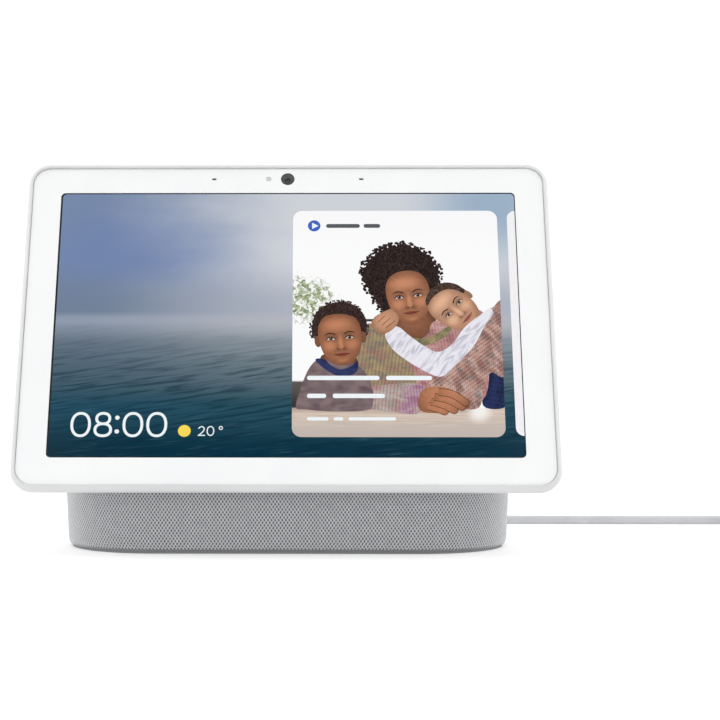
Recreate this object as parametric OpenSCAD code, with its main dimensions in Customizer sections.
// Smart display: a tilted touch screen head on a cloth-covered speaker base, with its
// power lead and wall adapter. Millimetres. X right, Y back, Z up. The origin is on the
// table, at the middle of the standing object without its lead.

/* [Display head] */
// Width of the cover glass
glass_w = 245.7; // [245:0.1:246]
// Height of the cover glass
glass_h = 163.4; // [163:0.1:164]
// Corner radius of the cover glass
glass_r = 8.3; // [7:0.1:9]
// Thickness of the cover glass
glass_t = 1.1; // [0.9:0.1:1.2]
// How far the housing's rim stands out past the glass at the top and bottom
rim = 2.6; // [2.2:0.1:3]
// How far the rim stands out at the left and right
rim_side = 2.2; // [2:0.1:2.6]
// Thickness of the head
head_t = 12; // [12:0.1:12.2]
// Lean of the screen back from upright
tilt = 25; // [24.5:0.1:25.5]
// Width of the clear window in the white border
window_w = 218.2; // [214:0.1:220]
// Height of the clear window
window_h = 136.8; // [134:0.1:138]

/* [Speaker base] */
// Half length of the straight part of the base's plan
base_half_l = 61.2; // [60:0.1:62]
// Radius of the base's round ends where they are widest
base_r = 44.8; // [44.5:0.1:45]
// Height of the base's top edge behind the head
base_top = 122; // [121:0.1:123]
// Lean of the base's rear wall
rear_lean = 28.4; // [28:0.1:29]
// Thickness of the cloth
cloth_t = 1; // [0.8:0.1:1]
// Thickness of the speaker enclosure's wall
wall_t = 2.2; // [1.8:0.1:2.2]
// Thickness of the silicone foot
foot_t = 1.4; // [1.2:0.1:1.4]

/* [Buttons] */
// Travel of the microphone and camera switch
switch_travel = 2.6; // [2:0.1:2.6]
// Length of the volume rocker
rocker_l = 33.2; // [30:0.1:33.2]

/* [Speakers] */
// Outer radius of the woofer
woofer_r = 33; // [32:0.1:33]
// Distance of each tweeter from the middle
tweeter_x = 62; // [61:0.1:62]

/* [Power lead] */
// Diameter of the lead
cord_d = 4.4; // [4.2:0.1:4.4]
// Width of the wall adapter
adapter_w = 50; // [48:1:52]
// Depth of the wall adapter
adapter_l = 52; // [50:1:54]
// Thickness of the wall adapter without its pins
adapter_t = 26; // [24:1:28]
// Distance between the adapter's pins
pin_gap = 18.6; // [18.6:0.1:19]

/* [Hidden] */
$fn = 96;
face_y = -15.85;                // middle of the glass's front face
face_z = 107.05;
face_top = 75.9;                // height of the camera row above the middle of the glass
back_edge = 9;                  // how far the flat back lies inside the glass edge
edge_n = 2.8;                   // depth of the rim's widest line behind the glass face
ledge_n = 1.45;                 // depth of the ledge that the glass rests on
inner_back = 10.2;              // depth of the head's inner back wall
panel_w = 226;                  // the display panel and its backlight
panel_h = 142.4;
panel_front = -1.95;
panel_back = -3;
arc_n = 7;                      // steps in a quarter of a shell's outline
rear_y = 50.6;                  // the rear of the base, in Y
base_cy = rear_y - base_r;      // middle line of the base, in Y
base_foot_r = 43.3;             // end radius of the base just above its bottom edge
flare = 0.042;                  // outward taper of the base's sides
bottom_edge = 4;                // height of the rounded bottom edge
fold_z = 40;                    // height where the rear wall starts to lean
fold_h = 10;                    // height over which it bends
shoulder_z = 45;                // height where the shoulders start to round in
shoulder_in = 43;               // how far they round in
nose_h = 10;                    // height of the rounded top edge
skin = cloth_t + 0.1;           // inset of the enclosure's outside face
inner = skin + wall_t;          // inset of its inside face
gap = 0.1;                      // gap between pieces that lie against each other
woofer_z = 81;                  // where the woofer's axis meets the cloth
woofer_sunk = 5.5;              // depth of the woofer's frame below the cloth
tweeter_y = -32.6;
tweeter_z = 17;
jack_z = 14;
jack_y = 50.3;                  // the jack's face
jack_l = 16.3;
plug_r = 2.75;                  // the plug's barrel
boot_y = 58;                    // the strain relief starts here
boot_l = 22;
rocker_x = 104;
rocker_u = 20;
rocker_n = 9;                   // depth of the rocker's pin
switch_u = 62;
mic_x = 35.5;
sensor_x = -9.2;
neck_x = 50;                    // the neck's four screws
neck_u = [-20, -60];
harness_u = -8;
harness_r = 4;
boss_d = 33;                    // distance of the base's screw bosses from the end centres
boss_angle = 25;
coil_x = 262;
coil_y = 74.75;
coil_r = 25;                    // middle radius of the coiled turns
coil_pitch = 4.5;
coil_z = 0.7;                   // the coil lies on its tie
turns_across = 4;
turns_high = 2;
tie_t = 0.6;
adapter_y = 6;                  // the adapter's face on the lead's side
entry_z = 10;                   // height at which the lead enters the adapter
pin_r = 2;
pin_root_r = 1.7;               // the pins' thinner part, moulded into the adapter's face
pin_l = 19;

// The lead's route along its middle, from the strain relief to the coil.
lead_route = [
    [0, 80, 14], [0, 86, 13.6], [1.5, 94, 12.2], [6, 100.5, 10], [12.5, 105, 7.6],
    [20.5, 106.5, 5.4], [30, 106.5, 3.6], [40, 106.5, 2.6], [52, 106.5, 2.2],
    [65, 106.5, 2.2], [78, 106.5, 2.2], [91, 106.5, 2.2], [104, 106.5, 2.2],
    [117, 106.5, 2.2], [130, 106.5, 2.2], [143, 106.5, 2.2], [156, 106.5, 2.2],
    [169, 106.5, 2.2], [182, 106.5, 2.2], [195, 106.5, 2.2], [208, 106.5, 2.2],
    [221, 106.5, 2.2], [234, 106.5, 2.5], [246, 106.5, 2.9], [250.5, 106.5, 2.9]];
// From the coil to the wall adapter.
tail_route = [
    [293.75, 66, 7.2], [293.75, 60, 6.2], [293.75, 53, 4.2], [293.75, 46, 2.7],
    [293.75, 39, 2.2], [293.75, 32, 3.2], [293.75, 26, 6.6], [293.75, 20.5, 9.8], [293.75, 17.2, 10]];
// The speaker harness in the head's own frame, from the main board to the power board.
harness_route = [
    [0, -6.4, -8.6], [0, -7.6, -9.2], [0, -8, -11], [0, -8, -14], [0, -9, -17.4], [0, -12, -19.4],
    [0, -18, -20], [0, -34, -20], [0, -52, -20.5], [0, -60, -27], [0, -65, -40],
    [0, -67, -54], [0, -68.5, -66], [0, -69.9, -72.1]];

// ---- shared shapes ----

module rounded_rect(w, h, r) {
    union() {
        square([w - 2 * r, h], center = true);
        square([w, h - 2 * r], center = true);
        for (x = [-1, 1], y = [-1, 1])
            translate([x * (w / 2 - r), y * (h / 2 - r)]) circle(r);
    }
}

// A flat plate with rounded corners, from height lo to height hi.
module plate(w, h, r, lo, hi) {
    translate([0, 0, lo]) linear_extrude(hi - lo) rounded_rect(w, h, r);
}

// A box given by its middle in X and Y, its size, and its two heights.
module block(x, y, w, h, lo, hi) {
    translate([x - w / 2, y - h / 2, lo]) cube([w, h, hi - lo]);
}

module disc(r, lo, hi) {
    translate([0, 0, lo]) cylinder(r = r, h = hi - lo);
}

module tube(r_out, r_in, lo, hi) {
    difference() {
        disc(r_out, lo, hi);
        disc(r_in, lo - 1, hi + 1);
    }
}

module stadium(r, lo, hi) {
    translate([0, base_cy, lo]) linear_extrude(hi - lo) union() {
        square([2 * base_half_l, 2 * r], center = true);
        for (s = [-1, 1]) translate([s * base_half_l, 0]) circle(r);
    }
}

// The head's own frame: X right, Y up the screen, Z out of the glass.
module head() {
    translate([0, face_y, face_z]) rotate([90 - tilt, 0, 0]) children();
}

// The woofer's own frame: Z along its axis, out of the rear wall, 0 at its frame's face.
module woofer_frame() {
    surface_y = base_cy + base_r - tan(rear_lean) * (woofer_z - fold_z - fold_h / 2);
    translate([0, surface_y, woofer_z]) rotate([rear_lean - 90, 0, 0])
        translate([0, 0, -woofer_sunk]) children();
}

// A tweeter's own frame: Z forward, 0 at its frame's face.
module tweeter_frame(side) {
    translate([side * tweeter_x, tweeter_y, tweeter_z]) rotate([90, 0, 0]) children();
}

// The jack's own frame: Z backward along the plug, 0 at the jack's face.
module jack_frame() {
    translate([0, jack_y, jack_z]) rotate([-90, 0, 0]) children();
}

// A closed solid through a list of rings that each have the same even number of points.
function middle(ring) = (ring[0] + ring[len(ring) / 2]) / 2;
module loft(rings) {
    m = len(rings[0]);
    n = len(rings);
    sides = [for (j = [0:n - 2], k = [0:m - 1]) each
        let (a = j * m + k, b = j * m + (k + 1) % m, c = b + m, d = a + m,
             rising = rings[j + 1][0][2] > rings[j][0][2])
        rising ? [[a, d, c], [a, c, b]] : [[a, d, b], [b, d, c]]];
    caps = [for (k = [0:m - 1]) each let (next = (k + 1) % m, top = (n - 1) * m)
        [[k, next, n * m], [top + next, top + k, n * m + 1]]];
    ends = [middle(rings[0]), middle(rings[n - 1])];
    polyhedron(concat([for (r = rings) each r], ends), concat(sides, caps));
}

// Rings of a round tube along a route. They stand across the route at each point.
function unit(v) = v / norm(v);
function heading(route, i) =
    unit(route[min(i + 1, len(route) - 1)] - route[max(i - 1, 0)]);
function tube_ring(p, h, r, sides) =
    let (side = unit(cross(abs(h[2]) < 0.9 ? [0, 0, 1] : [1, 0, 0], h)), up = cross(h, side))
    [for (k = [0:sides - 1]) p + r * (cos(360 * k / sides) * side + sin(360 * k / sides) * up)];
module swept_tube(route, r, sides) {
    loft([for (i = [0:len(route) - 1]) tube_ring(route[i], heading(route, i), r, sides)]);
}

// ---- outlines of the two shells ----

// One ring of the head: o is the distance outside the glass edge, n the depth behind it.
function head_corner(o) = glass_r + o * (o > 0 ? 0.85 : 0.55);
function head_ring(o, n) =
    let (r = head_corner(o), w = glass_w / 2 + o * (o > 0 ? rim_side / rim : 1) - r,
         h = glass_h / 2 + o - r)
    [for (c = [0:3], k = [0:arc_n]) let (a = 90 * (c + k / arc_n))
        [(c == 0 || c == 3 ? w : -w) + r * cos(a), (c < 2 ? h : -h) + r * sin(a), -n]];
function front_curve(a) = head_ring(rim * sin(a), edge_n * (1 - cos(a)));
function back_curve(a, depth, reach) =
    head_ring(-back_edge + reach * cos(a), edge_n + (depth - edge_n) * sin(a));

// One ring of the base at height z, moved in by an inset.
function display_back_y(z, inset) =
    face_y + (z - face_z) * tan(tilt) + (head_t + gap + inset) / cos(tilt);
function end_r(z) = min(base_r, base_foot_r + flare * (z - 5))
    - (z < 5 ? 1.6 * (1 - sqrt(1 - pow((5 - z) / bottom_edge, 2))) : 0);
function lean_at(s) =
    tan(rear_lean) * (s < 0 ? 0 : s < fold_h ? s * s / (2 * fold_h) : s - fold_h / 2);
function nose_z(inset) = base_top - nose_h + 1 - 1.2 * inset;
function nose(z, inset) =
    z < nose_z(inset) ? 1 : sqrt(1 - pow((z - nose_z(inset)) / nose_h, 2));
function straight_at(z) = z < shoulder_z ? base_half_l
    : base_half_l - shoulder_in * (1 - sqrt(1 - pow((z - shoulder_z) / 80, 2)));
function base_ring(z, inset) =
    let (front = display_back_y(z, inset), cy = max(base_cy, front),
         r = end_r(z) - inset, rear = base_cy + end_r(z) - lean_at(z - fold_z) - inset,
         depth = front + (rear - front) * nose(z, inset) - cy)
    [for (s = [1, -1], k = [0:2 * arc_n])
        let (a = (s > 0 ? -90 : 90) + 90 * k / arc_n)
        [s * straight_at(z) + r * cos(a), max(front, cy + (sin(a) > 0 ? depth : r) * sin(a)), z]];
function base_heights(inset) = concat(
    [foot_t, 2.2, 3.4, 5, 14, 24, 30, 34],
    [for (z = [fold_z:fold_h / 3:fold_z + fold_h]) z],
    [for (z = [60:10:100]) z],
    [for (a = [0:15:75]) nose_z(inset) + nose_h * sin(a)]);
module base_shell(outer_inset, inner_inset) {
    down = base_heights(inner_inset);
    loft(concat([for (i = [len(down) - 1:-1:0]) base_ring(down[i], inner_inset)],
        [for (z = base_heights(outer_inset)) base_ring(z, outer_inset)]));
}

// ---- the display head ----

// A short slot with round ends, cut through the glass and its ink for a microphone.
module mic_slot(lo, hi) {
    slot_w = 2.2;
    slot_h = 1;
    for (s = [-1, 1]) translate([s * mic_x, face_top, 0])
        plate(slot_w, slot_h, slot_h / 2 - 0.01, lo, hi);
}

module cover_glass() {
    color("ghostwhite") head() difference() {
        plate(glass_w, glass_h, glass_r, -glass_t, 0);
        mic_slot(-glass_t - 1, 1);
    }
}

module ink_mask() {
    ink_t = 0.3;
    edge_in = 0.3;
    camera_window_r = 3.3;
    color("white") head() difference() {
        plate(glass_w - 2 * edge_in, glass_h - 2 * edge_in, glass_r - edge_in,
            -glass_t - ink_t, -glass_t);
        plate(window_w, window_h, 2.2, -glass_t - 1, 0);
        mic_slot(-glass_t - 1, 0);
        translate([0, face_top, 0]) disc(camera_window_r, -glass_t - 1, 0);
        translate([sensor_x, face_top, 0]) disc(1.3, -glass_t - 1, 0);
    }
}

module lcd_panel() {
    color("midnightblue") head() plate(panel_w, panel_h, 1, panel_back, panel_front);
}

module backlight_unit() {
    color("whitesmoke") head() plate(panel_w, panel_h, 1.5, -5.05, panel_back - 0.05);
}

module mid_frame() {
    color("silver") head() difference() {
        plate(228, 142.8, 2, -6, -5.15);
        for (s = [-1, 1]) translate([s * 95, 0, 0]) plate(14, 90, 3, -7, -5);
    }
}

module neck_holes(r, lo, hi) {
    for (s = [-1, 1], u = neck_u) translate([s * neck_x, u, 0]) disc(r, lo, hi);
}

module volume_slot(w, l, lo, hi) {
    translate([rocker_x, rocker_u, 0]) plate(w, l, 1.5, lo, hi);
}

module pin_along_x(r, l) {
    translate([rocker_x, rocker_u, -rocker_n]) rotate([0, 90, 0])
        cylinder(r = r, h = l, center = true);
}

module housing_shell() {
    loft(concat(
        [for (a = [90:-15:0]) back_curve(a, head_t, rim + back_edge)],
        [for (a = [75:-17.5:5]) front_curve(a)],
        [head_ring(0.12, 0.02), head_ring(0.12, ledge_n), head_ring(-1, ledge_n)],
        [for (a = [0:15:90]) back_curve(a, inner_back, back_edge - 1)]));
}

module display_housing() {
    boss_r = 3.6;
    boss_top = 7.2;
    ear_x = 4.9;
    color("white") head() difference() {
        union() {
            housing_shell();
            neck_holes(boss_r, -inner_back - 0.5, -boss_top);
            for (s = [-1, 1])
                block(rocker_x + s * ear_x, rocker_u, 1.4, 3.6, -inner_back - 0.5, -7.4);
        }
        neck_holes(1.6, -head_t - 1, -boss_top + 1);
        volume_slot(6.6, 34.4, -head_t - 1, -inner_back + 0.5);
        pin_along_x(0.82, 14);
        translate([0, harness_u, 0]) disc(harness_r, -head_t - 1, -inner_back + 1);
        translate([0, switch_u, 0]) plate(12.4, 5.2, 2, -head_t - 1, -head_t + 0.9);
        translate([0, switch_u, 0]) plate(5.6, 2.4, 0.5, -head_t - 1, -inner_back + 1);
    }
}

module camera_barrel() {
    color("dimgray") head() translate([0, face_top, 0]) difference() {
        disc(3.2, -5.4, -1.5);
        disc(2, -6, -2.6);
        translate([0, 0, -2.61]) cylinder(r1 = 1.2, r2 = 2.6, h = 1.2);
    }
}

module camera_lens() {
    lens_r = 1.9;
    color("slateblue") head() translate([0, face_top, -3.8]) intersection() {
        cylinder(r = lens_r, h = 2);
        translate([0, 0, -2]) sphere(r = 3);
    }
}

module camera_board() {
    color("darkgreen") head() {
        block(0, face_top, 8, 6.6, -6.3, -5.5);
        block(0, face_top, 4.4, 4.4, -5.51, -5.41);
    }
}

module microphone_boards() {
    color("darkgreen") head() for (s = [-1, 1]) {
        block(s * mic_x, face_top, 10, 5, -3.4, -2.6);
        block(s * mic_x, face_top, 4, 3, -4.5, -3.4);
    }
}

module mic_gaskets() {
    color("black") head() for (s = [-1, 1]) translate([s * mic_x, face_top, 0])
        tube(2.4, 1.2, -2.55, -1.45);
}

module light_sensor() {
    color("dimgray") head() block(sensor_x, face_top, 3, 3, -2.3, -1.5);
}

module main_board() {
    color("darkgreen") head() {
        block(0, 23.5, 150, 57, -8.3, -7.3);
        block(-52, 12, 12, 12, -9.4, -8.3);
        block(60, 40, 16, 8, -9.6, -8.3);
        block(58, 5, 20, 6, -9.6, -8.3);
    }
}

module shield_cans() {
    color("silver") head() {
        block(-20, 30, 34, 30, -9.7, -8.4);
        block(25, 30, 40, 30, -9.7, -8.4);
        block(-55, 36, 24, 20, -9.7, -8.4);
    }
}

module heat_spreader() {
    color("lightgray") head() difference() {
        plate(160, 64, 3, -6.85, -6.15);
        for (s = [-1, 1]) translate([s * 74, 0, 0]) disc(2, -8, -5);
    }
}

module wifi_antennas() {
    color("goldenrod") head() for (s = [-1, 1])
        block(s * 78, face_top - 0.4, 36, 5.4, -3.6, -3);
}

// The screen's flat cable: down past its edge, round it and back up to the main board.
module display_flex() {
    film_t = 0.3;
    start = [-panel_h / 2 - 0.1, -2.6];
    turn_u = -73.4;
    low = -6.6;
    deep = -7.7;
    end_u = -5.1;
    color("orange") head() translate([12, 0, 0]) rotate([90, 0, 90]) linear_extrude(26)
        polygon([start, [turn_u, start[1]], [turn_u, low], [-46, low], [-38, deep], [end_u, deep],
            [end_u, deep - film_t], [-38, deep - film_t], [-46, low - film_t],
            [turn_u - film_t, low - film_t], [turn_u - film_t, start[1] + film_t],
            [start[0], start[1] + film_t]]);
}

module privacy_switch_knob() {
    color("white") head() translate([-switch_travel / 2, switch_u, 0]) {
        plate(6.5, 3.6, 1.2, -head_t - 0.9, -head_t + 0.8);
        block(0, 0, 2.4, 1.8, -head_t + 0.8, -9.9);
    }
}

module privacy_switch_body() {
    color("dimgray") head() {
        block(0, switch_u, 10, 6, -9.8, -7.4);
        block(0, switch_u, 14, 8, -7.4, -7);
    }
}

module volume_rocker() {
    cap_w = 5.6;
    leg_u = 12;
    color("white") head() difference() {
        union() {
            volume_slot(cap_w, rocker_l, -head_t - 1.2, -10.4);
            block(rocker_x, rocker_u, cap_w, 3.2, -10.5, -rocker_n);
            pin_along_x(1.6, cap_w);
            for (s = [-1, 1])
                block(rocker_x, rocker_u + s * leg_u, 2, 2, -10.5, -8.6);
        }
        pin_along_x(0.85, 14);
    }
}

module volume_pin() {
    color("silver") head() pin_along_x(0.8, 12);
}

module volume_board() {
    color("darkgreen") head() {
        block(rocker_x, rocker_u, 8, 32, -6.9, -6.2);
        for (s = [-1, 1]) block(rocker_x, rocker_u + s * 12, 3.5, 3.5, -7.9, -6.9);
    }
}

// ---- the neck between the head and the base ----

module neck_seal() {
    color("gray") head() difference() {
        translate([0, -38, 0]) plate(140, 76, 6, -head_t - skin, -head_t - 0.02);
        neck_holes(1.8, -head_t - 2, -head_t + 1);
        translate([0, harness_u, 0]) disc(harness_r, -head_t - 2, -head_t + 1);
    }
}

module neck_bracket() {
    top = -head_t - gap - inner - gap;
    color("silver") head() difference() {
        translate([0, -40, 0]) plate(120, 52, 4, top - 1.5, top);
        neck_holes(1.6, top - 2, top + 1);
        translate([0, -40, 0]) plate(50, 24, 4, top - 2, top + 1);
    }
}

module neck_screws() {
    seat = -head_t - gap - inner - gap - 1.5;
    color("gray") head() {
        neck_holes(1.45, seat - 0.5, -7.7);
        neck_holes(2.8, seat - 2.2, seat);
    }
}

// ---- the speaker base ----

module base_boss_places() {
    for (s = [-1, 1], t = [-1, 1])
        translate([s * (base_half_l + boss_d * cos(boss_angle)),
            base_cy + t * boss_d * sin(boss_angle), 0])
            rotate([0, 0, atan2(t * sin(boss_angle), s * cos(boss_angle))]) children();
}

module speaker_enclosure() {
    boss_top = 21;
    color("dimgray") difference() {
        union() {
            base_shell(skin, inner);
            base_boss_places() {
                disc(3.8, 4.8, boss_top);
                translate([0, -1, 4.8]) cube([8, 2, boss_top - 4.8]);
            }
        }
        base_boss_places() disc(1.5, 4, 18);
        woofer_frame() disc(28, 0, 6.5);
        for (s = [-1, 1]) tweeter_frame(s) disc(9.4, -1, 12);
        jack_frame() disc(6.8, -8, 5);
        head() neck_holes(1.7, -20, -head_t);
        head() translate([0, harness_u, 0]) disc(harness_r, -20, -head_t);
    }
}

module fabric_cover() {
    color("lightgray") difference() {
        base_shell(0, cloth_t);
        jack_frame() disc(6.8, -8, 5);
        head() translate([0, -38, 0]) plate(142, 78, 6, -head_t - 1.6, -head_t + 1);
    }
}

module base_plate() {
    plate_r = end_r(foot_t) - inner - 0.4;
    color("dimgray") difference() {
        stadium(plate_r, foot_t, foot_t + 3);
        base_boss_places() {
            disc(1.7, 0, 6);
            disc(3.2, 0, foot_t + 1.6);
        }
    }
}

module ballast_weight() {
    color("gray") difference() {
        block(0, base_cy - 6, 90, 56, 4.6, 9.4);
        for (s = [-1, 1]) translate([s * 38, base_cy, 0]) disc(3, 4, 10);
    }
}

module foot_pad() {
    color("gainsboro") difference() {
        stadium(end_r(foot_t) - 0.9, 0, foot_t);
        stadium(27, -1, foot_t + 1);
    }
}

module base_screws() {
    color("gray") base_boss_places() {
        disc(1.4, foot_t + 1, 16);
        disc(2.9, foot_t + 0.05, foot_t + 1.5);
    }
}

// ---- the woofer ----

module woofer_gasket() {
    color("black") woofer_frame() tube(woofer_r, 28.2, 0.05, 2.5);
}

module woofer_basket() {
    color("darkslategray") woofer_frame() difference() {
        rotate_extrude() polygon([[woofer_r, 0], [woofer_r, -1.5], [30.2, -1.5], [22.4, -13.9],
            [9.4, -13.9], [9.4, -12.7], [18.5, -12.7], [19.9, -8.65], [22.4, -8.65],
            [27.6, -1.2], [27.6, 0]]);
        for (k = [0:5]) rotate([0, 0, 60 * k + 30])
            translate([16, -6, -8.4]) cube([20, 12, 5.6]);
    }
}

module woofer_top_plate() {
    color("silver") woofer_frame() tube(15, 7.4, -17, -14);
}

module woofer_magnet() {
    color("dimgray") woofer_frame() tube(14.5, 9.5, -22, -17.05);
}

module woofer_yoke() {
    color("silver") woofer_frame() {
        disc(15, -24.5, -22.05);
        disc(6.2, -22.1, -13.5);
    }
}

module voice_coil() {
    color("peru") woofer_frame() {
        tube(7, 6.5, -18, -7.5);
        tube(7.2, 6.9, -17.5, -13.5);
    }
}

// The paper cone and its dust cap, glued into one moving piece.
module woofer_cone() {
    color("black") woofer_frame() {
        rotate_extrude() polygon([[7.05, -8.6], [7.05, -7.6], [21.8, -0.6], [23, -0.6],
            [23, -1.2], [21.9, -1.2]]);
        rotate_extrude() polygon([[0, -2.4], [3.5, -2.8], [6.6, -4], [9.4, -5.9],
            [9.4, -6.7], [6.3, -4.8], [3.4, -3.5], [0, -3.1]]);
    }
}

module woofer_surround() {
    color("black") woofer_frame() rotate_extrude() intersection() {
        difference() {
            translate([25.3, -0.2]) circle(2.3);
            translate([25.3, -0.2]) circle(1.8);
        }
        translate([20, 0.05]) square([10, 5]);
    }
}

// The corrugated spider ends in a flat land on the basket's step.
module woofer_spider() {
    ridge = 0.7;
    steps = 7;
    pitch = 1.7;
    inner_r = 7.3;
    bottom = -9.3;
    spider_t = 0.4;
    waves = concat([for (k = [0:steps]) [inner_r + pitch * k, bottom + (k % 2) * ridge]],
        [[inner_r + pitch * steps + 2, bottom + ridge]]);
    color("khaki") woofer_frame() rotate_extrude() polygon(concat(waves,
        [for (k = [len(waves) - 1:-1:0]) waves[k] + [0, spider_t]]));
}

// ---- the tweeters ----

module tweeter_housings() {
    color("dimgray") for (s = [-1, 1]) tweeter_frame(s) difference() {
        union() {
            disc(11, -1.4, 0);
            disc(9.8, -9, 0);
        }
        disc(8.4, -7.6, 1);
    }
}

module tweeter_magnets() {
    color("silver") for (s = [-1, 1]) tweeter_frame(s) disc(5, -7.5, -2.6);
}

module tweeter_dome(side) {
    dome_r = 6.4;
    rise = 1.9;
    ball = (dome_r * dome_r + rise * rise) / (2 * rise);
    color("gray") tweeter_frame(side) {
        difference() {
            intersection() {
                translate([0, 0, rise - ball]) sphere(ball);
                disc(dome_r, 0, rise + 1);
            }
            translate([0, 0, rise - ball]) sphere(ball - 0.4);
            disc(dome_r - 0.5, -1, 0.05);
        }
        tube(dome_r, dome_r - 0.5, -3.4, 0.1);
    }
}

module tweeter_surround(side) {
    color("black") tweeter_frame(side) tube(8.3, 6.5, -0.35, 0.05);
}
module tweeter_dome_left() { tweeter_dome(-1); }
module tweeter_dome_right() { tweeter_dome(1); }
module tweeter_surround_left() { tweeter_surround(-1); }
module tweeter_surround_right() { tweeter_surround(1); }

// ---- power and wiring inside the base ----

module dc_jack() {
    color("black") jack_frame() {
        difference() {
            disc(6.5, -jack_l, 0);
            disc(plug_r + 0.15, -13.4, 1);
        }
        disc(1, -13.6, -2.4);
    }
}

module power_board() {
    color("darkgreen") {
        block(0, 20, 50, 26, 10.2, 11.8);
        block(-14, 20, 12, 12, 11.7, 18);
        block(15, 24, 14, 8, 11.7, 15);
    }
}

module speaker_harness() {
    color("black") head() swept_tube(harness_route, 1.2, 8);
}

// ---- the power lead ----

module dc_plug() {
    color("white") jack_frame() {
        tube(plug_r, 1.35, -11.8, 0.6);
        disc(4.6, 0.5, boot_y - jack_y);
    }
}

// The plug's strain relief, a taper with grooves.
module plug_boot() {
    wide = 3.9;
    slim = 2.5;
    grooves = 5;
    step = boot_l / (2 * grooves + 1);
    color("white") jack_frame() translate([0, 0, boot_y - jack_y]) rotate_extrude() polygon(
        concat([[0, 0]], [for (k = [0:2 * grooves]) each
            let (r = wide + (slim - wide) * k / (2 * grooves) - (k % 2) * 0.5)
            [[r, k * step], [r, (k + 1) * step]]], [[0, boot_l]]));
}

module power_cord() {
    color("white") swept_tube(lead_route, cord_d / 2, 8);
}

// Width or height of so many turns of the lead side by side.
function bundle(turns) = coil_pitch * (turns - 1) + cord_d;

module cord_coil() {
    w = bundle(turns_across) + 0.2;
    h = bundle(turns_high) + 0.2;
    color("white") translate([coil_x, coil_y, coil_z]) rotate_extrude()
        translate([coil_r, h / 2]) rounded_rect(w, h, 2);
}

module cord_tie() {
    w = bundle(turns_across) + 1.5;
    h = bundle(turns_high) + 1.3;
    band_w = 8;
    color("black") translate([coil_x - coil_r, coil_y, 0]) rotate([90, 0, 0])
        translate([0, h / 2 + tie_t, -band_w / 2]) linear_extrude(band_w) difference() {
            rounded_rect(w + 2 * tie_t, h + 2 * tie_t, 2);
            rounded_rect(w, h, 1.6);
        }
}

module cord_tail() {
    color("white") swept_tube(tail_route, cord_d / 2, 8);
}

// ---- the wall adapter, lying on its back with its pins up ----

module adapter_frame() {
    translate([tail_route[0][0], adapter_y - adapter_l / 2, 0]) children();
}

module adapter_boot() {
    color("white") translate([tail_route[0][0], adapter_y + 0.05, entry_z]) rotate([-90, 0, 0])
        cylinder(r1 = 3.8, r2 = 2.6, h = 10.9);
}

module adapter_case() {
    color("white") adapter_frame() difference() {
        plate(adapter_w, adapter_l, 7, 0, adapter_t - 4);
        plate(adapter_w - 4, adapter_l - 4, 5, 2, adapter_t);
    }
}

module adapter_face() {
    color("white") adapter_frame() difference() {
        union() {
            plate(adapter_w, adapter_l, 7, adapter_t - 4, adapter_t - 1.5);
            plate(34, 16, 5, adapter_t - 1.6, adapter_t);
        }
        for (s = [-1, 1]) translate([s * pin_gap / 2, 0, 0])
            disc(pin_root_r + 0.05, adapter_t - 5, adapter_t + 1);
    }
}

module adapter_pins() {
    color("silver") adapter_frame() for (s = [-1, 1]) translate([s * pin_gap / 2, 0, 0]) {
        disc(pin_root_r, adapter_t - 8, adapter_t + 0.02);
        disc(pin_r, adapter_t + 0.01, adapter_t + pin_l - pin_r);
        translate([0, 0, adapter_t + pin_l - pin_r]) sphere(r = pin_r);
    }
}

module adapter_board() {
    color("darkgreen") adapter_frame() {
        block(0, 0, 42, 44, 4, 5.6);
        block(-8, 8, 18, 16, 5.5, 16);
        block(12, -8, 12, 20, 5.5, 14);
    }
}

cover_glass();
ink_mask();
lcd_panel();
backlight_unit();
mid_frame();
display_housing();
camera_barrel();
camera_lens();
camera_board();
microphone_boards();
mic_gaskets();
light_sensor();
main_board();
shield_cans();
heat_spreader();
wifi_antennas();
display_flex();
privacy_switch_knob();
privacy_switch_body();
volume_rocker();
volume_pin();
volume_board();
neck_seal();
neck_bracket();
neck_screws();
speaker_enclosure();
fabric_cover();
base_plate();
ballast_weight();
foot_pad();
base_screws();
woofer_gasket();
woofer_basket();
woofer_top_plate();
woofer_magnet();
woofer_yoke();
woofer_cone();
woofer_surround();
woofer_spider();
voice_coil();
tweeter_housings();
tweeter_magnets();
tweeter_dome_left();
tweeter_dome_right();
tweeter_surround_left();
tweeter_surround_right();
dc_jack();
power_board();
speaker_harness();
dc_plug();
plug_boot();
power_cord();
cord_coil();
cord_tie();
cord_tail();
adapter_boot();
adapter_case();
adapter_face();
adapter_pins();
adapter_board();
